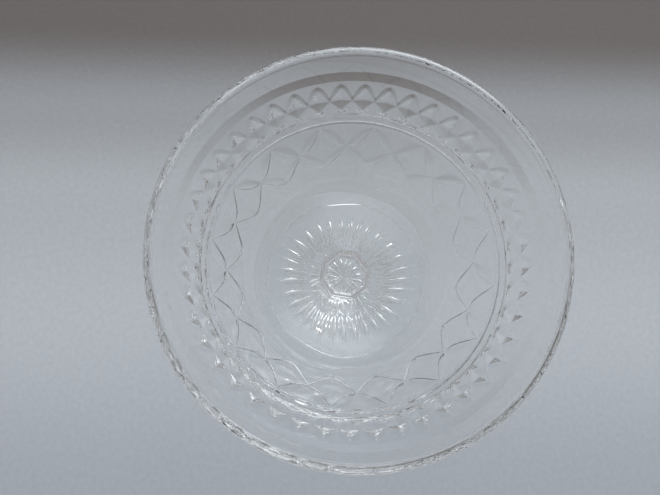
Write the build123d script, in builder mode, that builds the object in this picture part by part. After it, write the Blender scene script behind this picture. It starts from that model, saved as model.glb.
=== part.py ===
"""Footed candy dish in clear pressed glass: a deep patterned bowl on a panelled stem and a rayed foot.

The three pressings are fused to each other on flat round joints. Millimetres, +Z up, and the origin is
at the middle of the foot's underside, on the table.
"""

import os
from math import atan2, cos, degrees, hypot, pi, radians, sin

from build123d import *

# Heights of the three pressings, which stand on each other
foot_height = 17.0
stem_height = 13.0
bowl_height = 80.0

# Bowl: a rolled lip, a plain rim band, a sloping ledge, a straight wall with the pattern, a round bottom,
# and a plain straight inside
rim_diameter = 152.0
lip_width = 3.6
rim_band_height = 12.0
rim_band_inset = 3.8
ledge_height = 3.0
ledge_inset = 2.6
pattern_wall_height = 44.0
pattern_wall_inset = 20.0
wall_thickness = 4.2
floor_thickness = 7.0

# Diamond band: one row of four-sided points between two families of slanting grooves
diamond_count = 44
diamond_gap = 2.4
diamond_height = 11.9
diamond_depth = 1.1
diamond_tip_width = 0.7

# Two fine beads round the wall between the bands
bead_count = 2
bead_pitch = 4.2
bead_radius = 0.55
bead_gap = 3.6

# Arch band: a row of kites, each drawn by two upper and two lower grooves
arch_count = 16
arch_gap = 2.0
arch_upper_height = 12.0
arch_lower_height = 9.6
arch_groove_width = 3.2
arch_groove_depth = 1.1

# Stem: panelled, waisted, and fused to the bowl and the foot
stem_panels = 8
stem_end_width = 25.0
stem_waist_width = 17.0
seat_step = 1.0

# Foot: a low dome over a flat underside with a star and rays pressed into it
foot_diameter = 100.0
foot_edge_thickness = 3.6
foot_edge_radius = 1.4
rest_width = 6.0
underside_recess = 0.6
ray_count = 32
ray_depth = 1.0
ray_width = 3.0
ray_start_radius = 13.5
ray_end_gap = 2.5
ray_end_rise = 0.6
star_count = 16
star_depth = 1.4
star_radius = 9.0
star_groove_width = 2.6

# Heights above the table
stem_bottom = foot_height
bowl_bottom = stem_bottom + stem_height
rim_height = bowl_bottom + bowl_height
wall_top = rim_height - rim_band_height - ledge_height
wall_bottom = wall_top - pattern_wall_height

# Radii
rim_radius = rim_diameter / 2
band_radius = rim_radius - rim_band_inset
wall_top_radius = band_radius - ledge_inset
heel_radius = wall_top_radius - pattern_wall_inset
stem_end_radius = stem_end_width / 2
seat_radius = stem_end_radius + seat_step
foot_radius = foot_diameter / 2

# The straight patterned wall, followed down its slope
wall_slope = atan2(pattern_wall_inset, pattern_wall_height)
wall_offset = wall_thickness / cos(wall_slope)
wall_length = hypot(pattern_wall_inset, pattern_wall_height)


def wall_radius(drop):
    """Outer radius of the patterned wall at a distance down its slope."""
    return wall_top_radius - drop * sin(wall_slope)


def wall_plane(drop, turn, lean):
    """Plane across a groove on the wall, its x axis along the surface and its y axis outwards.

    drop is the distance down the slope, turn the angle round the bowl, and lean the groove's own angle
    from straight down the slope. The plane's normal runs along the groove.
    """
    around = Vector(-sin(turn), cos(turn), 0)
    up_slope = Vector(sin(wall_slope) * cos(turn), sin(wall_slope) * sin(turn), cos(wall_slope))
    outwards = Vector(cos(wall_slope) * cos(turn), cos(wall_slope) * sin(turn), -sin(wall_slope))
    along = around * sin(lean) - up_slope * cos(lean)
    radius = wall_radius(drop)
    height = wall_top - drop * cos(wall_slope)
    place = Vector(radius * cos(turn), radius * sin(turn), height)
    return Plane(origin=place, x_dir=outwards.cross(along), z_dir=along)


def groove(plane, width, depth, length):
    """V-shaped cutter centred on a plane that lies across the groove."""
    rise = 1.5
    half_top = width / 2 * (depth + rise) / depth
    with BuildPart() as cutter:
        with BuildSketch(plane):
            with BuildLine():
                Polyline((0, -depth), (half_top, rise), (-half_top, rise), close=True)
            make_face()
        extrude(amount=length / 2, both=True)
    return cutter.part


# Where each band of the pattern starts, down the slope from the ledge
diamond_start = diamond_gap
bead_start = diamond_start + diamond_height + bead_gap
arch_start = bead_start + (bead_count - 1) * bead_pitch + arch_gap

diamond_radius = wall_radius(diamond_start + diamond_height / 2)
diamond_pitch = 2 * pi * diamond_radius / diamond_count
diamond_lean = atan2(diamond_pitch, diamond_height)
diamond_groove_length = hypot(diamond_pitch, diamond_height)
diamond_groove_width = diamond_pitch * cos(diamond_lean) - diamond_tip_width

arch_half_turn = pi / arch_count
crossing_drop = arch_start + arch_upper_height
upper_drop = arch_start + arch_upper_height / 2
lower_drop = crossing_drop + arch_lower_height / 2
upper_run = 2 * wall_radius(upper_drop) * sin(arch_half_turn / 2)
lower_run = 2 * wall_radius(lower_drop) * sin(arch_half_turn / 2)


# The diamond band's two families of grooves, cut off at the band's upper and lower edges
band_top = wall_top - diamond_start * cos(wall_slope)
band_low = band_top - diamond_height * cos(wall_slope)
with BuildPart() as diamond_band:
    with BuildSketch(Plane.XY.offset(band_low)):
        Circle(rim_radius)
    extrude(amount=band_top - band_low)

diamond_grooves = []
for lean in (diamond_lean, -diamond_lean):
    across = wall_plane(diamond_start + diamond_height / 2, 0, lean)
    slanted_groove = groove(across, diamond_groove_width, diamond_depth, diamond_groove_length * 1.4)
    with BuildPart() as slanted:
        add(slanted_groove)
        add(diamond_band.part, mode=Mode.INTERSECT)
    diamond_grooves.append(slanted.part)

# Each kite has two grooves from its peak to the crossings and two from there to its foot
arch_grooves = []
for side in (1, -1):
    turn = side * arch_half_turn / 2
    upper = wall_plane(upper_drop, turn, side * atan2(upper_run, arch_upper_height))
    lower = wall_plane(lower_drop, turn, -side * atan2(lower_run, arch_lower_height))
    upper_length = hypot(upper_run, arch_upper_height)
    lower_length = hypot(lower_run, arch_lower_height)
    arch_grooves.append(groove(upper, arch_groove_width, arch_groove_depth, upper_length))
    arch_grooves.append(groove(lower, arch_groove_width, arch_groove_depth, lower_length))

# Bowl
with BuildPart() as bowl:
    with BuildSketch(Plane.XZ):
        with BuildLine():
            floor_top = bowl_bottom + floor_thickness
            inner_heel = (heel_radius - wall_offset, wall_bottom)
            lip_inside = (rim_radius - lip_width, rim_height - lip_width / 2)
            lip_outside = (rim_radius, rim_height - lip_width / 2)
            down_inside = (inner_heel[0] - lip_inside[0], inner_heel[1] - lip_inside[1])
            Line((0, floor_top), (0, bowl_bottom))
            Line((0, bowl_bottom), (seat_radius, bowl_bottom))
            Spline(
                (seat_radius, bowl_bottom),
                (heel_radius, wall_bottom),
                tangents=[(cos(radians(12)), sin(radians(12))), (sin(wall_slope), cos(wall_slope))],
            )
            Line((heel_radius, wall_bottom), (wall_top_radius, wall_top))
            Line((wall_top_radius, wall_top), (band_radius, wall_top + ledge_height))
            Line((band_radius, wall_top + ledge_height), lip_outside)
            lip_middle = (rim_radius - lip_width / 2, rim_height - lip_width / 2)
            CenterArc(lip_middle, lip_width / 2, 0, 90)
            CenterArc(lip_middle, lip_width / 2, 90, 90)
            Line(lip_inside, inner_heel)
            Spline(inner_heel, (0, floor_top), tangents=[down_inside, (-1, 0)])
        make_face()
        # Beads stand proud of the wall by half their round section
        for number in range(bead_count):
            drop = bead_start + number * bead_pitch
            with Locations((wall_radius(drop), wall_top - drop * cos(wall_slope))):
                Circle(bead_radius)
    revolve(axis=Axis.Z)
    with PolarLocations(0, diamond_count):
        add(diamond_grooves, mode=Mode.SUBTRACT)
    with PolarLocations(0, arch_count):
        add(arch_grooves, mode=Mode.SUBTRACT)
bowl.part.label = "bowl"

# Stem
with BuildPart() as stem:
    for height, width in (
        (stem_bottom, stem_end_width),
        (stem_bottom + stem_height / 2, stem_waist_width),
        (bowl_bottom, stem_end_width),
    ):
        with BuildSketch(Plane.XY.offset(height)):
            RegularPolygon(width / 2, stem_panels)
    loft(ruled=True)
stem.part.label = "stem"

# Rays and star points for the foot's underside: grooves that run shallow towards both ends
rest_radius = foot_radius - foot_edge_radius
recess_radius = rest_radius - rest_width
ray_end_radius = recess_radius - ray_end_gap
ray_cutters = []
for start, end, width, depth in (
    (ray_start_radius, ray_end_radius, ray_width, ray_depth),
    (0, star_radius, star_groove_width, star_depth),
):
    middle = (start + end) / 2
    half_length = (end - start) / 2
    across = Plane(origin=(middle, 0, underside_recess), x_dir=(0, -1, 0), z_dir=(1, 0, 0))
    shallowing = degrees(atan2(depth * ray_end_rise, half_length))
    with BuildPart() as ray:
        with BuildSketch(across):
            with BuildLine():
                Polyline((0, depth), (-width / 2, 0), (0, -depth), (width / 2, 0), close=True)
            make_face()
        extrude(amount=half_length, both=True, taper=shallowing)
    ray_cutters.append(ray.part)
ray_cutter, star_cutter = ray_cutters

# Foot
with BuildPart() as foot:
    with BuildSketch(Plane.XZ):
        with BuildLine():
            edge_top = (foot_radius - foot_edge_radius, foot_edge_thickness)
            Line((0, underside_recess), (0, foot_height))
            Line((0, foot_height), (seat_radius, foot_height))
            Spline(
                (seat_radius, foot_height),
                edge_top,
                tangents=[(cos(radians(50)), -sin(radians(50))), (cos(radians(8)), -sin(radians(8)))],
            )
            Polyline(
                edge_top,
                (foot_radius, foot_edge_thickness - foot_edge_radius),
                (foot_radius, foot_edge_radius),
                (rest_radius, 0),
                (recess_radius, 0),
                (recess_radius - underside_recess, underside_recess),
                (0, underside_recess),
            )
        make_face()
    revolve(axis=Axis.Z)
    with PolarLocations(0, ray_count):
        add(ray_cutter, mode=Mode.SUBTRACT)
    with PolarLocations(0, star_count):
        add(star_cutter, mode=Mode.SUBTRACT)
foot.part.label = "foot"

os.makedirs("parts", exist_ok=True)
for piece in (bowl, stem, foot):
    export_step(piece.part, f"parts/{piece.part.label}.step")
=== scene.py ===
"""Footed candy dish in clear pressed glass: the three pressings with their full pattern, on a pale table."""

from math import atan2, cos, hypot, pi, radians, sin

import bmesh
import bpy
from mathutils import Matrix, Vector, noise


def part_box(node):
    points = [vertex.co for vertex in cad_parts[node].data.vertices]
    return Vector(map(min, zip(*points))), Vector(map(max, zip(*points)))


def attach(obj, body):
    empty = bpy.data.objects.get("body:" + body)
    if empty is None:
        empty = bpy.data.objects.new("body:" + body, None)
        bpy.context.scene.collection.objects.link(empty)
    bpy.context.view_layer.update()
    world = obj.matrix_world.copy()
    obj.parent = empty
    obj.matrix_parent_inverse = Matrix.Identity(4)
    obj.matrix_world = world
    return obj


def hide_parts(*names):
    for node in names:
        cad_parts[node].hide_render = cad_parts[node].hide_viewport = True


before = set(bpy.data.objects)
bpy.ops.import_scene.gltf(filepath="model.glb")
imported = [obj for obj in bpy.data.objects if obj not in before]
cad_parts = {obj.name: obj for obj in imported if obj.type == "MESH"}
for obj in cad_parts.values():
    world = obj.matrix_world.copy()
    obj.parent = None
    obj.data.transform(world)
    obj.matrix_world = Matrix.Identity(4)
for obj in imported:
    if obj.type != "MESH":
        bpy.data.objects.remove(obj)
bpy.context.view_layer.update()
mm = 0.001

# Places of the three pressings, from the frame
bowl_low, bowl_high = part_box("bowl")
_, foot_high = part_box("foot")
rim_radius = bowl_high.x
rim_height = bowl_high.z
bowl_bottom = bowl_low.z
foot_top = foot_high.z
foot_radius = foot_high.x

# Bowl sections
lip_width = 3.6 * mm
rim_band_height = 12.0 * mm
rim_band_inset = 3.8 * mm
ledge_height = 3.0 * mm
ledge_inset = 2.6 * mm
pattern_wall_height = 44.0 * mm
pattern_wall_inset = 20.0 * mm
wall_thickness = 4.2 * mm
floor_thickness = 7.0 * mm
bottom_wave_rate = 45
bottom_wave_height = 1.5 * mm
bottom_wave_fade_rows = 6

wall_top = rim_height - rim_band_height - ledge_height
wall_bottom = wall_top - pattern_wall_height
band_radius = rim_radius - rim_band_inset
wall_top_radius = band_radius - ledge_inset
heel_radius = wall_top_radius - pattern_wall_inset
wall_slope = atan2(pattern_wall_inset, pattern_wall_height)
wall_offset = wall_thickness / cos(wall_slope)

# Columns round each piece: the bowl's are a whole number for every diamond, arch and panel
diamond_count = 44
arch_count = 16
panel_count = 8
ray_count = 32
bowl_columns = 704
foot_columns = 384
stem_columns = 160

# Rows along each profile. The two bands' rows match their columns, so their lines run corner to corner
diamond_half = bowl_columns // diamond_count // 2
diamond_edge_rows = 3
diamond_rows = 2 * diamond_half + 2 * diamond_edge_rows
arch_half = bowl_columns // arch_count // 2
arch_edge_rows = 3
arch_rows = 2 * arch_half + arch_edge_rows
bowl_bottom_rows = 14
bowl_joint_fade_rows = 5
bowl_inside_rows = 20
lip_rows = 10
stem_rows = 14
foot_underside_rows = 44
foot_edge_rows = 11
foot_top_rows = 26
foot_joint_fade_rows = 6

# Edges that turn more than this stay crisp
sharp_angle = radians(14)

# Diamond band
diamond_gap = 2.4 * mm
diamond_height = 11.9 * mm
diamond_margin = 1.6 * mm
diamond_depth = 1.1 * mm
diamond_low_depth = 1.9 * mm
band_sink = 1.0 * mm
diamond_upper_height = 7.0 * mm
diamond_lower_height = 4.9 * mm
diamond_crescent = 2.4 * mm
crescent_least = 0.3

# Beads between the bands
bead_gap = 3.6 * mm
bead_rise = 0.55 * mm
bead_lower_flanks = (2.2 * mm, 0.8 * mm)
bead_upper_flank = 0.5 * mm
bead_pitch = 4.2 * mm
bead_count = 2
bead_outline = ((1, 0), (0.25, 0.8), (0, 1), (-0.6, 0.8), (-1, 0))

# Arch band: upper strokes from the peaks to the crossings, and a zigzag from there down and back up
arch_gap = 2.0 * mm
arch_upper_height = 12.0 * mm
arch_lower_height = 9.6 * mm
arch_margin = 4.5 * mm
arch_depth = 1.6 * mm
stroke_least = 0.05
leaf_width = 5.5 * mm
leaf_depth = 0.3 * mm
stroke_width = 1.3 * mm
stroke_return = 4.2 * mm
zigzag_depth = 1.5 * mm
zigzag_width = 1.5 * mm
zigzag_return = 4.2 * mm
zigzag_least = 0.25

# Stem and foot
stem_end_radius = 12.5 * mm
stem_waist_radius = 8.5 * mm
foot_edge_radius = 1.6 * mm
foot_edge_turn = 0.94 * pi
rest_width = 6.0 * mm
underside_recess = 0.6 * mm
ray_depth = 1.7 * mm
ray_half_width = 1.9 * mm
ray_span = (11.0 * mm, 38.5 * mm)
star_count = 16
star_depth = 1.5 * mm
star_span = (0.4 * mm, 10.0 * mm)

# Where each band starts and ends, down the wall from the ledge
diamond_start = diamond_gap
bead_start = diamond_start + diamond_height + bead_gap
arch_start = bead_start + (bead_count - 1) * bead_pitch + arch_gap
band_end = diamond_start + diamond_height + diamond_margin

# Glass: the tint drifts between two faint grey-greens
glass_ior = 1.5
glass_tints = ((0.985, 0.99, 0.987, 1), (0.995, 0.998, 0.996, 1))
glass_shadow_tint = (0.98, 0.985, 0.985, 1)
tint_scale = 28.0
polish_scale = 160.0
ripple_scale = 95.0
bowl_ripple = 0.005 * mm
stem_ripple = 0.01 * mm
foot_ripple = 0.006 * mm
polish_wear = 0.015
foot_wear = 0.02
glass_bounces = 48
reflection_bounces = 24
clear_bounces = 32

# Room: a dark wall behind the viewer, a grey one opposite, a soft window high up, and one small lamp
away_from_viewer = (0.232, 0.973, 0.0)
window_direction = (0.45, 0.75, 0.62)
near_wall_colour = (0.26, 0.225, 0.21, 1)
far_wall_colour = (0.42, 0.42, 0.43, 1)
ceiling_colour = (0.36, 0.38, 0.40, 1)
window_colour = (1.9, 2.0, 2.1, 1)
lamp_place = (0.35, 0.6, 1.3)
lamp_aim = (0, 0, 0.05)
lamp_width = 0.12
lamp_power = 4.0
lamp_colour = (0.97, 0.98, 1.0)

# Camera: nearly overhead, leaning towards the viewer
camera_lens = 34.6
camera_sensor = 36
camera_place = (-0.0296, -0.0287, 0.3278)
camera_turn = (9.15, -2.84, -13.4)

# Table, with its colours by distance from the dish, which are painted light and shade, bright on the
# viewer's side and falling to dark brown behind the dish: its two ends first, then from the viewer outwards
table_half_size = 1.6
table_gap = 0.15 * mm
table_roughness = 0.75
table_grain_scale = 420.0
table_grain = (0.9, 1.1)
painted_shade_start = -0.30
painted_shade_end = 0.30
painted_table_light_and_shade = (
    (-0.30, (0.92, 0.94, 0.96)),
    (0.30, (0.09, 0.075, 0.067)),
    (-0.13, (0.90, 0.92, 0.94)),
    (-0.108, (0.51, 0.54, 0.58)),
    (-0.02, (0.63, 0.66, 0.695)),
    (0.045, (0.56, 0.585, 0.61)),
    (0.09, (0.42, 0.435, 0.455)),
    (0.14, (0.185, 0.165, 0.155)),
)


# ---------------------------------------------------------------- materials


def node_material(name):
    """Empty node material, with its tree and its output node."""
    material = bpy.data.materials.new(name)
    material.use_nodes = True
    tree = material.node_tree
    tree.nodes.clear()
    output = tree.nodes.new("ShaderNodeOutputMaterial")
    return material, tree, output


def noise_value(tree, coords, scale, detail):
    """Noise of a given scale, as a value from 0 to 1."""
    texture = tree.nodes.new("ShaderNodeTexNoise")
    texture.inputs["Scale"].default_value = scale
    texture.inputs["Detail"].default_value = detail
    tree.links.new(coords, texture.inputs["Vector"])
    return texture.outputs["Fac"]


def spread(tree, value, low, high):
    """A 0 to 1 value spread between low and high."""
    ranged = tree.nodes.new("ShaderNodeMapRange")
    ranged.inputs["To Min"].default_value = low
    ranged.inputs["To Max"].default_value = high
    tree.links.new(value, ranged.inputs["Value"])
    return ranged.outputs["Result"]


def pressed_glass(name, ripple, rub):
    """Clear pressed glass: faint grey-green, fire-polished, with mould ripple and slight rubbing."""
    material, tree, output = node_material(name)
    coords = tree.nodes.new("ShaderNodeTexCoord").outputs["Object"]

    shader = tree.nodes.new("ShaderNodeBsdfPrincipled")
    shader.inputs["Transmission Weight"].default_value = 1.0
    shader.inputs["IOR"].default_value = glass_ior
    shader.inputs["Metallic"].default_value = 0.0

    tint = tree.nodes.new("ShaderNodeMix")
    tint.data_type = "RGBA"
    tint.inputs["A"].default_value, tint.inputs["B"].default_value = glass_tints
    tree.links.new(noise_value(tree, coords, tint_scale, 2.0), tint.inputs["Factor"])
    tree.links.new(tint.outputs["Result"], shader.inputs["Base Color"])

    polish = noise_value(tree, coords, polish_scale, 3.0)
    tree.links.new(spread(tree, polish, 0.0, rub), shader.inputs["Roughness"])

    waves = noise_value(tree, coords, ripple_scale, 2.0)
    bump = tree.nodes.new("ShaderNodeBump")
    bump.inputs["Strength"].default_value = 1.0
    bump.inputs["Distance"].default_value = ripple
    tree.links.new(waves, bump.inputs["Height"])
    tree.links.new(bump.outputs["Normal"], shader.inputs["Normal"])

    # Lamps and bounced light reach the table through the glass, as they do through thin clear glass
    clear = tree.nodes.new("ShaderNodeBsdfTransparent")
    clear.inputs["Color"].default_value = glass_shadow_tint
    path = tree.nodes.new("ShaderNodeLightPath")
    either = tree.nodes.new("ShaderNodeMath")
    either.operation = "MAXIMUM"
    tree.links.new(path.outputs["Is Shadow Ray"], either.inputs[0])
    tree.links.new(path.outputs["Is Diffuse Ray"], either.inputs[1])
    mix = tree.nodes.new("ShaderNodeMixShader")
    tree.links.new(either.outputs[0], mix.inputs["Fac"])
    tree.links.new(shader.outputs["BSDF"], mix.inputs[1])
    tree.links.new(clear.outputs["BSDF"], mix.inputs[2])
    tree.links.new(mix.outputs["Shader"], output.inputs["Surface"])
    return material


def fused_joint():
    """Where two pressings are one glass: light goes straight through."""
    material, tree, output = node_material("fused_joint")
    clear = tree.nodes.new("ShaderNodeBsdfTransparent")
    tree.links.new(clear.outputs["BSDF"], output.inputs["Surface"])
    return material


def across_table(tree, coords):
    """Distance across the table from the dish, away from the viewer."""
    away = tree.nodes.new("ShaderNodeVectorMath")
    away.operation = "DOT_PRODUCT"
    away.inputs[1].default_value = away_from_viewer
    tree.links.new(coords, away.inputs[0])
    return away.outputs["Value"]


def table_top_painted_light_and_shade():
    """Pale table, very slightly mottled, with painted light and shade in its colour: bright on the viewer's
    side, falling to painted dark brown shade behind the dish.
    """
    material, tree, output = node_material("table_top_painted_light_and_shade")
    coords = tree.nodes.new("ShaderNodeTexCoord").outputs["Object"]
    shader = tree.nodes.new("ShaderNodeBsdfPrincipled")
    shader.inputs["Roughness"].default_value = table_roughness
    distance = tree.nodes.new("ShaderNodeMapRange")
    distance.inputs["From Min"].default_value = painted_shade_start
    distance.inputs["From Max"].default_value = painted_shade_end
    tree.links.new(across_table(tree, coords), distance.inputs["Value"])
    # Painted light and shade: the ramp's stops set the table's colour by distance from the dish
    shade = tree.nodes.new("ShaderNodeValToRGB")
    shade.color_ramp.interpolation = "EASE"
    stops = shade.color_ramp.elements
    for number, (from_dish, colour) in enumerate(painted_table_light_and_shade):
        place = (from_dish - painted_shade_start) / (painted_shade_end - painted_shade_start)
        stop = stops[number] if number < 2 else stops.new(place)
        stop.position = place
        stop.color = (*colour, 1)
    tree.links.new(distance.outputs["Result"], shade.inputs["Fac"])
    # The painted light and shade is multiplied by the table's own mottled grain
    tint = tree.nodes.new("ShaderNodeMix")
    tint.data_type = "RGBA"
    tint.blend_type = "MULTIPLY"
    tint.inputs["Factor"].default_value = 1.0
    mottle = noise_value(tree, coords, table_grain_scale, 3.0)
    grain = spread(tree, mottle, *table_grain)
    tree.links.new(shade.outputs["Color"], tint.inputs["A"])
    tree.links.new(grain, tint.inputs["B"])
    tree.links.new(tint.outputs["Result"], shader.inputs["Base Color"])
    tree.links.new(shader.outputs["BSDF"], output.inputs["Surface"])
    return material


# ---------------------------------------------------------------- mesh helpers


def curve_points(start, start_way, end, end_way, count, pull):
    """Points along a smooth curve between start and end, leaving and arriving along the two directions.

    pull is how long its handles are, as a share of the straight distance.
    """
    reach = (Vector(end) - Vector(start)).length * pull
    handle_a = Vector(start) + Vector(start_way).normalized() * reach
    handle_b = Vector(end) - Vector(end_way).normalized() * reach
    points = []
    for step in range(1, count):
        t = step / count
        u = 1 - t
        leaving = Vector(start) * u**3 + handle_a * (3 * u * u * t)
        point = leaving + handle_b * (3 * u * t * t) + Vector(end) * t**3
        points.append((point.x, point.y))
    return points


def line_points(start, end, count):
    """Even points from start up to, but without, end."""
    return [
        (start[0] + (end[0] - start[0]) * step / count, start[1] + (end[1] - start[1]) * step / count)
        for step in range(count)
    ]


def turned(name, profile, columns):
    """A closed solid turned from a profile of (radius, height) points that starts and ends on the axis.

    Each vertex remembers its row in the profile.
    """
    mesh = bmesh.new()
    row_layer = mesh.verts.layers.int.new("row")
    ring = []
    for row, (radius, height) in enumerate(profile):
        vert = mesh.verts.new((radius, 0, height))
        vert[row_layer] = row
        ring.append(vert)
    edges = [mesh.edges.new((a, b)) for a, b in zip(ring, ring[1:])]
    bmesh.ops.spin(
        mesh,
        geom=ring + edges,
        axis=(0, 0, 1),
        cent=(0, 0, 0),
        angle=2 * pi,
        steps=columns,
        use_merge=True,
    )
    bmesh.ops.remove_doubles(mesh, verts=mesh.verts[:], dist=1e-7)
    bmesh.ops.recalc_face_normals(mesh, faces=mesh.faces[:])
    return mesh, row_layer


def column_of(vert, columns):
    """Which of the columns round the axis a vertex is in."""
    return round(atan2(vert.co.y, vert.co.x) / (2 * pi) * columns) % columns


def panelled(turn, share):
    """How far a panelled section is pulled in from its corners, as a share of the corner radius."""
    half = pi / panel_count
    local = (turn + half) % (2 * half) - half
    flat = cos(half) / cos(half - abs(local))
    return 1 + share * (flat - 1)


def finish_piece(mesh, name, node, materials):
    """Turns a bmesh into a named piece that replaces its CAD node."""
    for face in mesh.faces:
        face.smooth = True
    for edge in mesh.edges:
        edge.smooth = not (edge.is_manifold and edge.calc_face_angle() > sharp_angle)
    data = bpy.data.meshes.new(name)
    mesh.to_mesh(data)
    mesh.free()
    for material in materials:
        data.materials.append(material)
    piece = bpy.data.objects.new(name, data)
    bpy.context.scene.collection.objects.link(piece)
    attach(piece, "root")
    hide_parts(node)
    return piece


# ---------------------------------------------------------------- bowl


def wall_point(drop):
    """Radius and height on the outer wall, a distance down its slope.

    Just below the diamond band the wall is thinner, and it is back to full thickness at the arches.
    """
    sink = 0.0
    if band_end < drop < arch_start:
        sink = band_sink * (arch_start - drop) / (arch_start - band_end)
    radius = wall_top_radius - drop * sin(wall_slope) - sink * cos(wall_slope)
    return (radius, wall_top - drop * cos(wall_slope) + sink * sin(wall_slope))


def bowl_profile():
    """Profile from the joint round the outside, over the lip and down the inside to the axis.

    Also gives the lowest row of the arch band and of the diamond band, and the row of the inner heel.
    """
    points = [(0, bowl_bottom)]
    seat = (stem_end_radius, bowl_bottom)
    points.append(seat)
    arch_low = wall_point(arch_start + arch_upper_height + arch_lower_height + arch_margin)
    up_wall = (sin(wall_slope), cos(wall_slope))
    points += curve_points(seat, (1, 0.25), arch_low, up_wall, bowl_bottom_rows, 0.42)

    arch_first = len(points)
    arch_high = wall_point(arch_start)
    points += line_points(arch_low, arch_high, arch_rows)
    points.append(arch_high)

    outwards = (cos(wall_slope), -sin(wall_slope))
    for number in reversed(range(bead_count)):
        middle = bead_start + number * bead_pitch
        lower = bead_lower_flanks[number]
        for along, out in bead_outline:
            drop = middle + along * (lower if along > 0 else bead_upper_flank)
            base = wall_point(drop)
            proud = bead_rise * out
            points.append((base[0] + outwards[0] * proud, base[1] + outwards[1] * proud))

    diamond_first = len(points)
    diamond_low = wall_point(diamond_start + diamond_height + diamond_margin)
    diamond_high = wall_point(diamond_start - diamond_margin)
    points += line_points(diamond_low, diamond_high, diamond_rows)
    points.append(diamond_high)

    points.append((wall_top_radius, wall_top))
    points.append((band_radius, wall_top + ledge_height))
    lip_middle = (rim_radius - lip_width / 2, rim_height - lip_width / 2)
    points += line_points((band_radius, wall_top + ledge_height), (rim_radius, lip_middle[1]), 3)[1:]
    for step in range(lip_rows + 1):
        angle = pi * step / lip_rows
        points.append(
            (lip_middle[0] + lip_width / 2 * cos(angle), lip_middle[1] + lip_width / 2 * sin(angle))
        )
    inner_heel = (heel_radius - wall_offset, wall_bottom)
    floor_middle = (0, bowl_bottom + floor_thickness)
    inside = (inner_heel[0] - points[-1][0], inner_heel[1] - points[-1][1])
    points += line_points(points[-1], inner_heel, 5)[1:]
    inner_first = len(points)
    points.append(inner_heel)
    points += curve_points(inner_heel, inside, floor_middle, (-1, 0), bowl_inside_rows, 0.42)
    points.append(floor_middle)
    return points, arch_first, diamond_first, inner_first


def bulge(t, least):
    """Lens shape along a stroke: least at the two ends and 1 half way."""
    return least + (1 - least) * sin(pi * min(max(t, 0), 1))


def press_diamond(column, step):
    """Drop and depth of a diamond band vertex. step counts rows down from the band's upper edge.

    Each diamond is a raised point. A curved crescent leads down to its upper outline.
    """
    cell = 2 * diamond_half
    across = abs((column + diamond_half) % cell - diamond_half)
    along = across / diamond_half
    upper_line = diamond_edge_rows + across
    line_drop = diamond_start + diamond_upper_height * along
    if step < upper_line:
        top = diamond_start - diamond_margin
        shoulder = line_drop - diamond_crescent * bulge(along, crescent_least)
        return top + (shoulder - top) * step / (upper_line - 1), 0.0
    last_line = diamond_rows - diamond_edge_rows
    vertex_depth = diamond_depth + (diamond_low_depth - diamond_depth) * (1 - along)
    if step > last_line:
        rows_left = diamond_rows - step
        share = 1 - rows_left / diamond_edge_rows
        drop = diamond_start + diamond_height + diamond_margin * share
        at_line = band_sink + (vertex_depth - band_sink) * (1 - along)
        return drop, -(at_line + (band_sink - at_line) * share)
    down = step - diamond_edge_rows - diamond_half
    away = (across + abs(down)) / diamond_half
    height = diamond_upper_height if down < 0 else diamond_lower_height
    drop = diamond_start + diamond_upper_height + height * down / diamond_half
    low_share = max(down, 0) / max(across + abs(down), 1)
    outline = diamond_depth + (diamond_low_depth - diamond_depth) * low_share
    if away <= 1:
        return drop, -outline * away
    if down < 0:
        return drop, -outline * (2 - away)
    return drop, -(outline + (band_sink - outline) * (away - 1))


def press_arch(column, step):
    """Drop and depth of an arch band vertex. step counts rows down from the peaks.

    Each line is a groove with a narrow steep side above it and a wide gentle side below it.
    """
    cell = 2 * arch_half
    across = abs((column + arch_half) % cell - arch_half)
    along = across / arch_half
    upper_line = across
    zigzag_line = 2 * arch_half - across
    crossing = arch_start + arch_upper_height
    upper_drop = arch_start + arch_upper_height * along
    zigzag_drop = crossing + arch_lower_height * (1 - along)
    end_drop = crossing + arch_lower_height + arch_margin
    lens = bulge(along, stroke_least)
    zigzag_lens = zigzag_least + (1 - zigzag_least) * sin(pi * (0.12 + 0.88 * along) ** 0.8)
    if step < upper_line:
        shoulder = upper_drop - min(stroke_width, (upper_drop - arch_start) * 0.6) * lens
        leaf = max(upper_drop - leaf_width * lens, arch_start + (shoulder - arch_start) * 0.3)
        if step == upper_line - 1 and step > 0:
            return shoulder, -leaf_depth * lens
        return arch_start + (leaf - arch_start) * step / max(upper_line - 2, 1), 0.0
    if step == upper_line and upper_line != zigzag_line:
        return upper_drop, -arch_depth * lens
    if step < zigzag_line:
        first = upper_drop + stroke_return * lens
        last = zigzag_drop - zigzag_width * zigzag_lens
        if first > last:
            first = last = (upper_drop + max(zigzag_drop, upper_drop)) / 2
        share = (step - upper_line - 1) / max(zigzag_line - upper_line - 2, 1)
        return first + (last - first) * share, 0.0
    if step == zigzag_line:
        return zigzag_drop, -zigzag_depth * zigzag_lens
    first = zigzag_drop + zigzag_return * zigzag_lens
    share = (step - zigzag_line - 1) / (arch_rows - zigzag_line - 1)
    return first + (end_drop - first) * share, 0.0


def place_on_wall(vert, column, drop, depth):
    """Moves a vertex to its drop down the wall, raised by depth, or sunk where depth is negative."""
    turn = 2 * pi * column / bowl_columns
    radius, height = wall_point(drop)
    radius += depth * cos(wall_slope)
    height -= depth * sin(wall_slope)
    vert.co = (radius * cos(turn), radius * sin(turn), height)


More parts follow.
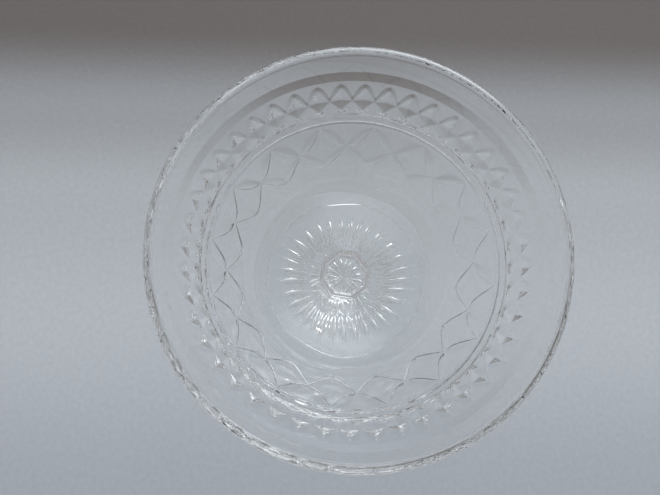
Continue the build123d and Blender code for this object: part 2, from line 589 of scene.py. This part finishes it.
def split_along_lines(mesh, grid, first_row, rows, half, upper_rows):
    """Cuts each four-sided face of a band along the way its grooves run.

    The grooves lean one way in the upper rows and the other way below them.
    """
    for step in range(rows):
        row = first_row + rows - step
        for column in range(bowl_columns):
            rising = (column + half) % (2 * half) < half
            following = (column + 1) % bowl_columns
            if rising == (step < upper_rows):
                ends = (grid[row, following], grid[row - 1, column])
            else:
                ends = (grid[row, column], grid[row - 1, following])
            shared = [f for f in ends[0].link_faces if f in ends[1].link_faces and len(f.verts) == 4]
            for face in shared:
                bmesh.utils.face_split(face, ends[0], ends[1])


def make_bowl(glass, joint):
    """Deep bowl with both bands pressed into its outside."""
    points, arch_first, diamond_first, inner_first = bowl_profile()
    mesh, row_layer = turned("bowl", points, bowl_columns)
    grid = {}
    for vert in mesh.verts:
        row = vert[row_layer]
        column = column_of(vert, bowl_columns)
        grid[row, column] = vert
        if arch_first <= row <= arch_first + arch_rows:
            drop, depth = press_arch(column, arch_first + arch_rows - row)
            place_on_wall(vert, column, drop, depth)
        elif diamond_first <= row <= diamond_first + diamond_rows:
            drop, depth = press_diamond(column, diamond_first + diamond_rows - row)
            place_on_wall(vert, column, drop, depth)
        elif 0 < row < arch_first:
            # The joint's outline is panelled like the stem and rounds off up the bowl's bottom
            share = max(0.0, 1 - (row - 1) / bowl_joint_fade_rows)
            pull = panelled(2 * pi * column / bowl_columns, share)
            vert.co.x *= pull
            vert.co.y *= pull
        elif row > inner_first:
            share = min((row - inner_first) / bottom_wave_fade_rows, 1)
            vert.co.z += noise.noise(vert.co * bottom_wave_rate) * bottom_wave_height * share
    split_along_lines(mesh, grid, arch_first, arch_rows, arch_half, arch_half)
    split_along_lines(mesh, grid, diamond_first, diamond_rows, diamond_half, diamond_rows // 2)
    for face in mesh.faces:
        if all(v[row_layer] <= 1 for v in face.verts):
            face.material_index = 1
    return finish_piece(mesh, "pressed_bowl", "bowl", [glass, joint])


# ---------------------------------------------------------------- stem


def make_stem(glass, joint):
    """Waisted stem with flat panels."""
    points = [(0, foot_top)]
    for step in range(stem_rows + 1):
        t = step / stem_rows
        pinch = (1 - (2 * t - 1) ** 2) ** 0.9
        radius = stem_end_radius + (stem_waist_radius - stem_end_radius) * pinch
        points.append((radius, foot_top + (bowl_bottom - foot_top) * t))
    points.append((0, bowl_bottom))
    mesh, row_layer = turned("stem", points, stem_columns)
    for vert in mesh.verts:
        pull = panelled(2 * pi * column_of(vert, stem_columns) / stem_columns, 1.0)
        vert.co.x *= pull
        vert.co.y *= pull
    for face in mesh.faces:
        rows = [v[row_layer] for v in face.verts]
        if max(rows) <= 1 or min(rows) >= stem_rows + 1:
            face.material_index = 1
    return finish_piece(mesh, "panelled_stem", "stem", [glass, joint])


# ---------------------------------------------------------------- foot


def groove_lift(radius, offset, start, end, widest, depth):
    """Height that a rounded groove along a spoke adds, at a radius and a sideways offset from its middle."""
    if not start < radius < end:
        return 0.0
    lens = sin(pi * ((radius - start) / (end - start)) ** 0.7) ** 0.6
    half_width = widest * lens
    if offset >= half_width:
        return 0.0
    return depth * lens * (0.5 + 0.5 * cos(pi * offset / half_width))


def make_foot(glass, joint):
    """Low round foot, with rays and a star pressed up into its underside."""
    rest_radius = foot_radius - foot_edge_radius
    recess_radius = rest_radius - rest_width
    points = [(0, underside_recess)]
    inner_radius = recess_radius - underside_recess
    for step in range(1, foot_underside_rows + 1):
        points.append((inner_radius * step / foot_underside_rows, underside_recess))
    underside_last = len(points) - 1
    points.append((recess_radius, 0))
    points.append((rest_radius, 0))
    edge_middle = (foot_radius - foot_edge_radius, foot_edge_radius)
    for step in range(1, foot_edge_rows + 1):
        angle = -pi / 2 + foot_edge_turn * step / foot_edge_rows
        points.append(
            (
                edge_middle[0] + foot_edge_radius * cos(angle),
                edge_middle[1] + foot_edge_radius * sin(angle),
            )
        )
    seat = (stem_end_radius, foot_top)
    points += curve_points(points[-1], (-1, 0.13), seat, (-1, 0.95), foot_top_rows, 0.36)
    joint_row = len(points)
    points.append(seat)
    points.append((0, foot_top))
    grooves = ((ray_count, *ray_span, ray_depth), (star_count, *star_span, star_depth))
    mesh, row_layer = turned("foot", points, foot_columns)
    for vert in mesh.verts:
        row = vert[row_layer]
        column = column_of(vert, foot_columns)
        radius = hypot(vert.co.x, vert.co.y)
        if 0 < row < underside_last:
            lift = 0.0
            for count, start, end, depth in grooves:
                spoke = foot_columns // count
                across = (column + spoke // 2) % spoke - spoke // 2
                offset = abs(across) * 2 * pi / foot_columns * radius
                widest = min(pi * radius / count, ray_half_width)
                cut = depth * widest / ray_half_width
                lift = max(lift, groove_lift(radius, offset, start, end, widest, cut))
            vert.co.z += lift
        elif row >= joint_row - foot_joint_fade_rows:
            share = min(1 - (joint_row - row) / foot_joint_fade_rows, 1.0)
            pull = panelled(2 * pi * column / foot_columns, share)
            vert.co.x *= pull
            vert.co.y *= pull
    for face in mesh.faces:
        if all(v[row_layer] >= joint_row for v in face.verts):
            face.material_index = 1
    return finish_piece(mesh, "rayed_foot", "foot", [glass, joint])


# ---------------------------------------------------------------- stage


def make_table(material):
    """Flat table top, a hair below the foot."""
    mesh = bmesh.new()
    bmesh.ops.create_grid(mesh, x_segments=1, y_segments=1, size=table_half_size)
    bmesh.ops.translate(mesh, vec=(0, 0, -table_gap), verts=mesh.verts[:])
    data = bpy.data.meshes.new("table")
    mesh.to_mesh(data)
    mesh.free()
    data.materials.append(material)
    table = bpy.data.objects.new("table", data)
    bpy.context.scene.collection.objects.link(table)


def make_lamp():
    """Small area lamp that faces the dish."""
    data = bpy.data.lights.new("lamp", "AREA")
    data.shape = "RECTANGLE"
    data.size = data.size_y = lamp_width
    data.energy = lamp_power
    data.color = lamp_colour
    lamp = bpy.data.objects.new("lamp", data)
    lamp.location = lamp_place
    lamp.rotation_euler = (Vector(lamp_aim) - Vector(lamp_place)).to_track_quat("-Z", "Y").to_euler()
    bpy.context.scene.collection.objects.link(lamp)


def towards(tree, coords, direction, start, end):
    """0 to 1 as a world direction turns towards the given one, smooth at both ends."""
    along = tree.nodes.new("ShaderNodeVectorMath")
    along.operation = "DOT_PRODUCT"
    along.inputs[1].default_value = Vector(direction).normalized()
    tree.links.new(coords, along.inputs[0])
    smooth = tree.nodes.new("ShaderNodeMapRange")
    smooth.interpolation_type = "SMOOTHSTEP"
    smooth.inputs["From Min"].default_value = start
    smooth.inputs["From Max"].default_value = end
    tree.links.new(along.outputs["Value"], smooth.inputs["Value"])
    return smooth.outputs["Result"]


def blended(tree, factor, first, second):
    """Mix of a colour or socket with another colour."""
    mix = tree.nodes.new("ShaderNodeMix")
    mix.data_type = "RGBA"
    tree.links.new(factor, mix.inputs["Factor"])
    if isinstance(first, tuple):
        mix.inputs["A"].default_value = first
    else:
        tree.links.new(first, mix.inputs["A"])
    mix.inputs["B"].default_value = second
    return mix.outputs["Result"]


def room_light():
    """Soft studio surround: dark and warm on the viewer's side, a soft window high on the far side."""
    world = bpy.data.worlds.new("studio")
    bpy.context.scene.world = world
    world.use_nodes = True
    tree = world.node_tree
    background = tree.nodes["Background"]
    coords = tree.nodes.new("ShaderNodeTexCoord").outputs["Generated"]
    far = towards(tree, coords, away_from_viewer, -0.6, 0.7)
    walls = blended(tree, far, near_wall_colour, far_wall_colour)
    above = towards(tree, coords, (0, 0, 1), 0.35, 0.95)
    room = blended(tree, above, walls, ceiling_colour)
    window = towards(tree, coords, window_direction, 0.80, 0.98)
    lit = blended(tree, window, room, window_colour)
    tree.links.new(lit, background.inputs["Color"])
    background.inputs["Strength"].default_value = 1.0


def make_camera():
    """Camera at the viewer's place, almost over the dish."""
    data = bpy.data.cameras.new("view")
    data.lens = camera_lens
    data.sensor_width = camera_sensor
    camera = bpy.data.objects.new("view", data)
    camera.location = camera_place
    camera.rotation_euler = [radians(angle) for angle in camera_turn]
    bpy.context.scene.collection.objects.link(camera)
    bpy.context.scene.camera = camera


make_camera()
room_light()
make_lamp()
make_table(table_top_painted_light_and_shade())

fused = fused_joint()
make_bowl(pressed_glass("bowl_glass", bowl_ripple, polish_wear), fused)
make_stem(pressed_glass("stem_glass", stem_ripple, polish_wear), fused)
make_foot(pressed_glass("foot_glass", foot_ripple, foot_wear), fused)

scene = bpy.context.scene
scene.view_settings.view_transform = "Standard"
scene.cycles.max_bounces = glass_bounces
scene.cycles.transmission_bounces = glass_bounces
scene.cycles.glossy_bounces = reflection_bounces
scene.cycles.transparent_max_bounces = clear_bounces
